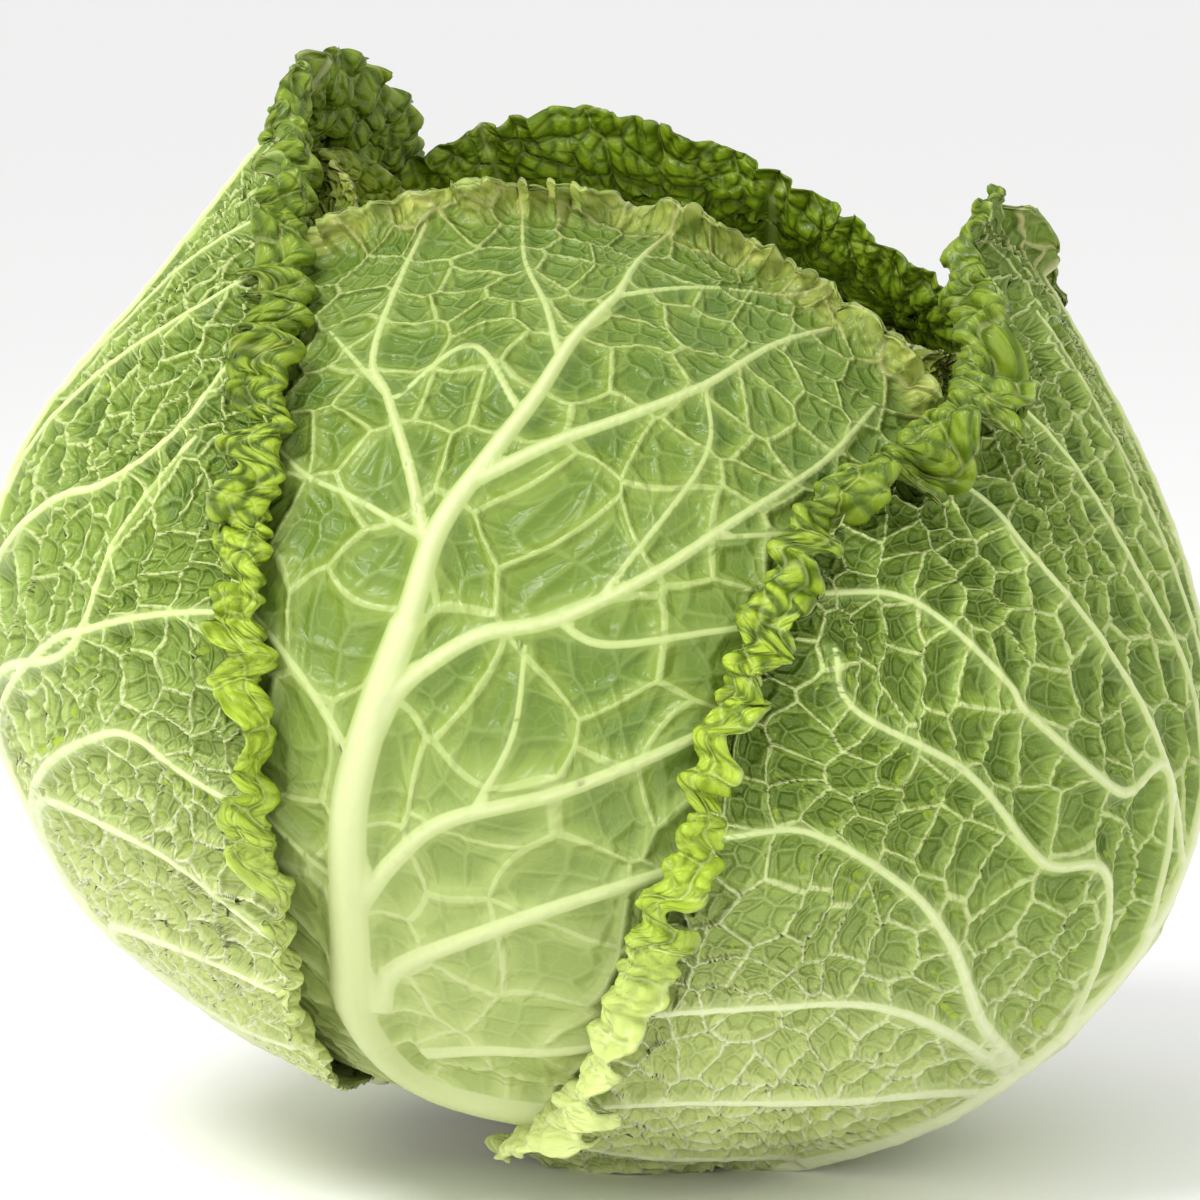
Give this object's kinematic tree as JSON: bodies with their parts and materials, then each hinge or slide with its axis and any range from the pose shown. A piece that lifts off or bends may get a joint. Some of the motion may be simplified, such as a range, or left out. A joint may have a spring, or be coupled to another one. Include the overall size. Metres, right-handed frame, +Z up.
{
  "type": "savoy cabbage",
  "caption": "Savoy cabbage head as cut: crinkled wrapper leaves with thick pale ribs around loose inner leaves and a closed heart, on a short stem stub, resting tilted.",
  "frame": {"origin": "on the resting surface, under the middle of the whole head", "axes": "+Z up as it rests, -Y to the front where the big ribbed leaf faces, +X the side towards which the stem's axis leans 14 degrees"},
  "size_m": [0.22, 0.221, 0.1977],
  "materials": {
    "outer_leaf": "crinkled waxy cabbage leaf, dark green blade with pale raised veins",
    "wrapper_leaf": "smoother waxy cabbage leaf, light green blade with thick cream ribs",
    "inner_leaf": "yellow-green crinkled leaf",
    "heart": "pale yellow-green tightly folded leaves",
    "stem": "pale fibrous cut stem, slightly browned at the cut"
  },
  "bodies": {
    "root": {"leaf_right": "outer_leaf", "leaf_left": "outer_leaf", "leaf_front": "wrapper_leaf", "leaf_back": "wrapper_leaf", "leaf_inner_right": "inner_leaf", "leaf_inner_left": "inner_leaf", "leaf_inner_front": "inner_leaf", "leaf_inner_back": "inner_leaf", "heart": "heart", "stem": "stem"}
  },
  "joints": []
}
